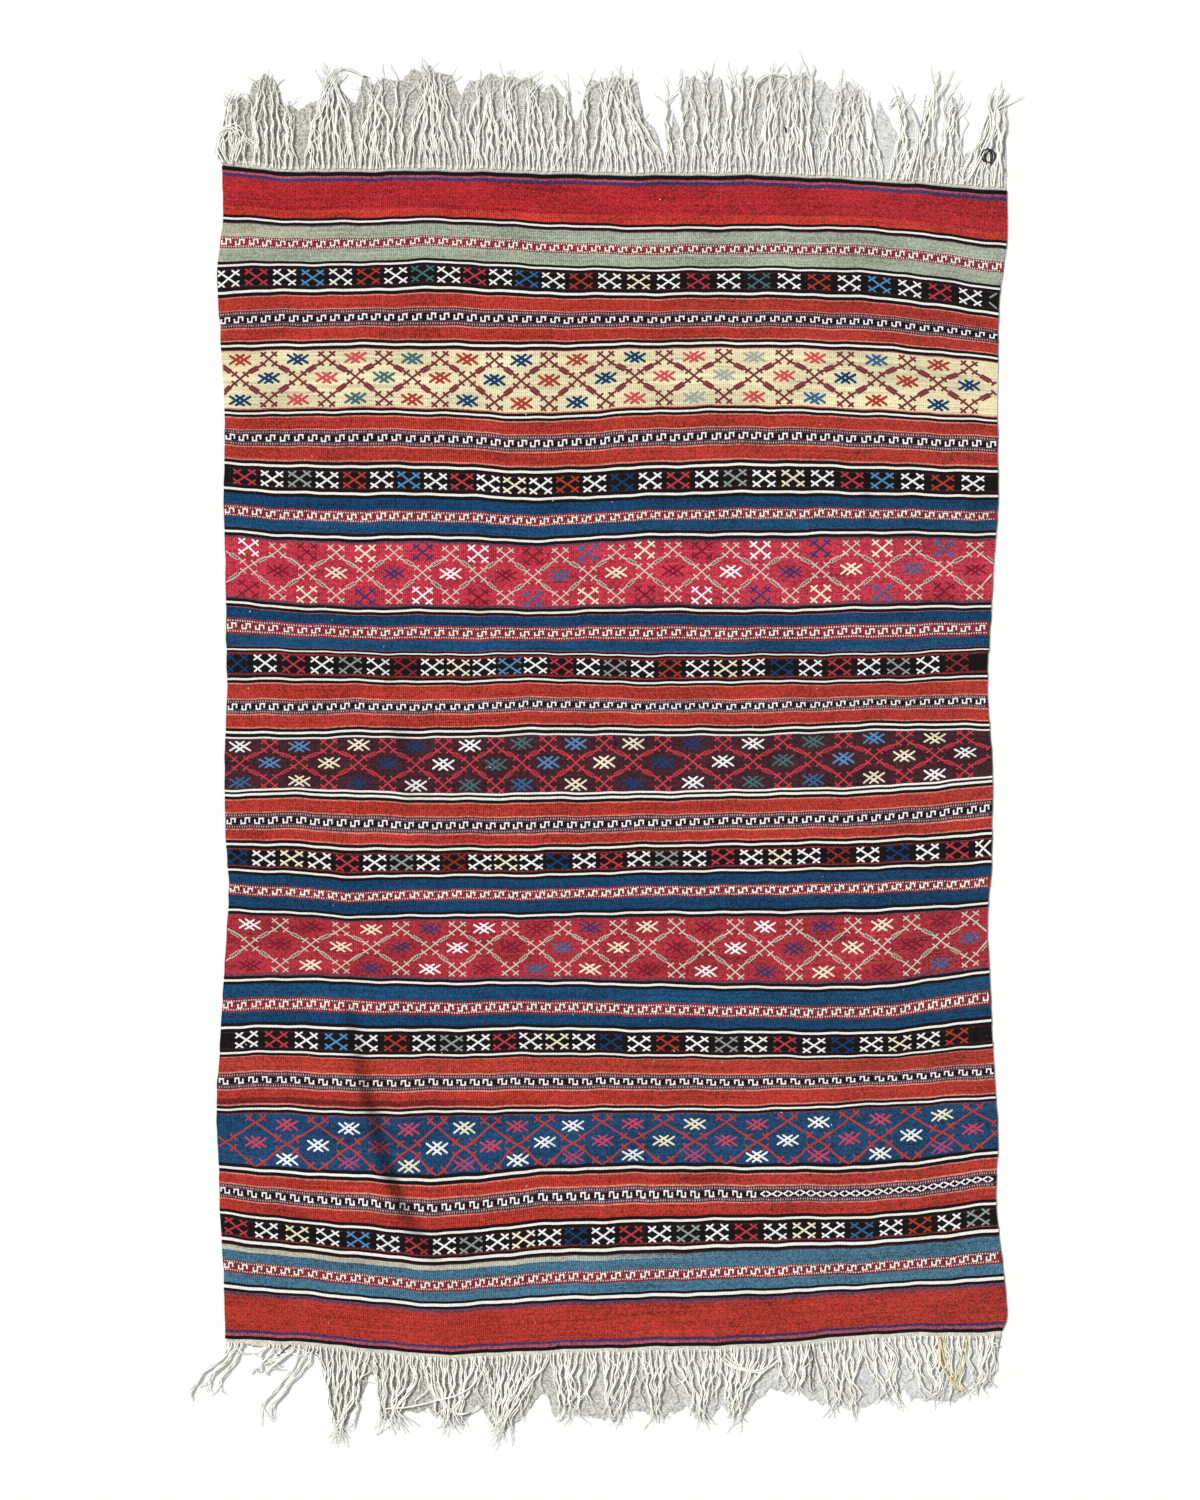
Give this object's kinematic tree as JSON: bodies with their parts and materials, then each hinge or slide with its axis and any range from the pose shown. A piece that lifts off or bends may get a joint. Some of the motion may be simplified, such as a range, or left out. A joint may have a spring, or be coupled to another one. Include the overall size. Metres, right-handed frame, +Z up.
{
  "type": "soumak rug",
  "caption": "Flat-woven wool rug lying flat, with brocaded pattern bands between plain stripes and a warp fringe at both ends.",
  "frame": {"origin": "middle of the whole rug's box, on the surface it lies on", "axes": "+Z up out of the rug's face, +Y along the warps towards the upper end, +X along the wefts towards the right selvedge"},
  "size_m": [1.2398, 2.1096, 0.008],
  "materials": {
    "dyed_wool": "matte weft-faced wool in red, blue, sage and cream bands",
    "warp_wool": "matte undyed cream wool yarn"
  },
  "bodies": {
    "root": {"ground_cloth": "dyed_wool", "fringe_top": "warp_wool", "fringe_bottom": "warp_wool"}
  },
  "joints": []
}
